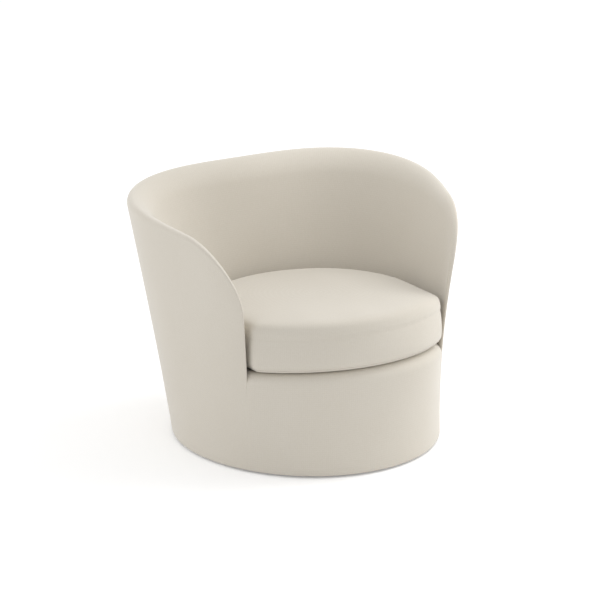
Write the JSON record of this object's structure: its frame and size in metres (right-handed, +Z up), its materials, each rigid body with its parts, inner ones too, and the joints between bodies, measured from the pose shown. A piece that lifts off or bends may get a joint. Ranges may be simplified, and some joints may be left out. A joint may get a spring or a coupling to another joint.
{
  "type": "swivel chair",
  "caption": "Upholstered barrel armchair with a wrapped back, a bowed loose seat cushion and a hidden swivel plinth.",
  "frame": {"origin": "on the floor, on the swivel axis", "axes": "+Z up, -Y towards the front of the seat, +X towards the sitter's left"},
  "size_m": [0.873, 0.8348, 0.665],
  "materials": {
    "cover_fabric": "matte",
    "polyester_wadding": "matte",
    "upholstery_foam": "matte",
    "fibreboard": "matte",
    "birch_plywood": "matte",
    "hardwood": "matte",
    "zinc_steel": "satin",
    "spring_steel": "satin",
    "bearing_steel": "polished",
    "nylon": "matte",
    "black_nylon": "matte",
    "webbing": "matte",
    "hessian": "matte",
    "dust_cloth": "matte",
    "zip_coil": "matte",
    "zip_slider_metal": "satin"
  },
  "bodies": {
    "swivel_base": {"glides": "black_nylon", "plinth_board": "birch_plywood", "plinth_screws": "zinc_steel", "lower_swivel_plate": "zinc_steel", "pivot_pin": "zinc_steel", "pivot_washer": "zinc_steel"},
    "ball_ring": {"ball_cage": "nylon", "bearing_balls": "bearing_steel"},
    "chair_body": {"pivot_bush": "nylon", "upper_swivel_plate": "zinc_steel", "plate_bolts": "zinc_steel", "tee_nuts": "zinc_steel", "mounting_board": "birch_plywood", "board_screws": "zinc_steel", "dust_cover": "dust_cloth", "bottom_ring": "birch_plywood", "posts": "hardwood", "seat_ring": "birch_plywood", "front_spring_rail": "hardwood", "back_spring_rail": "hardwood", "seat_springs": "spring_steel", "spring_clips": "zinc_steel", "tie_wires": "spring_steel", "hessian": "hessian", "deck_pad": "polyester_wadding", "deck_cover": "cover_fabric", "uprights": "hardwood", "arm_rail_left": "birch_plywood", "arm_rail_right": "birch_plywood", "back_rail": "birch_plywood", "back_webbing": "webbing", "side_panel": "fibreboard", "arm_toe_panel_left": "fibreboard", "arm_toe_panel_right": "fibreboard", "front_panel": "fibreboard", "front_border_pad": "polyester_wadding", "front_border_cover": "cover_fabric", "outside_wadding": "polyester_wadding", "outside_cover": "cover_fabric", "inside_cover": "cover_fabric", "arm_nose_pad_left": "upholstery_foam", "arm_nose_pad_right": "upholstery_foam", "arm_nose_facing_left": "cover_fabric", "arm_nose_facing_right": "cover_fabric", "arm_foam_left": "upholstery_foam", "arm_foam_right": "upholstery_foam", "back_foam": "upholstery_foam"},
    "seat_cushion": {"cushion_core": "upholstery_foam", "cushion_wrap": "polyester_wadding", "cushion_top_panel": "cover_fabric", "cushion_bottom_panel": "cover_fabric", "cushion_front_boxing": "cover_fabric", "cushion_zip_boxing": "cover_fabric", "zip_tape": "zip_coil"},
    "zip_slider": {"zip_slider": "zip_slider_metal"}
  },
  "joints": [
    {"name": "swivel", "type": "hinge", "parent": "swivel_base", "child": "chair_body", "pos_m": [0, 0, 0], "axis": [0, 0, 1], "continuous": true},
    {"name": "ball_ring_roll", "type": "hinge", "parent": "swivel_base", "child": "ball_ring", "pos_m": [0, 0, 0], "axis": [0, 0, 1], "continuous": true},
    {"name": "cushion_lift", "type": "slide", "parent": "chair_body", "child": "seat_cushion", "axis": [0, 0, 1], "range_m": [0, 0.35]},
    {"name": "zip_run", "type": "hinge", "parent": "seat_cushion", "child": "zip_slider", "pos_m": [0, -0.00209, 0.32269], "axis": [0, 0.0993, 0.9951], "range_deg": [-86.5, 0]}
  ],
  "couplings": [
    {"joint": "ball_ring_roll", "follows": "swivel", "ratio": 0.5}
  ]
}
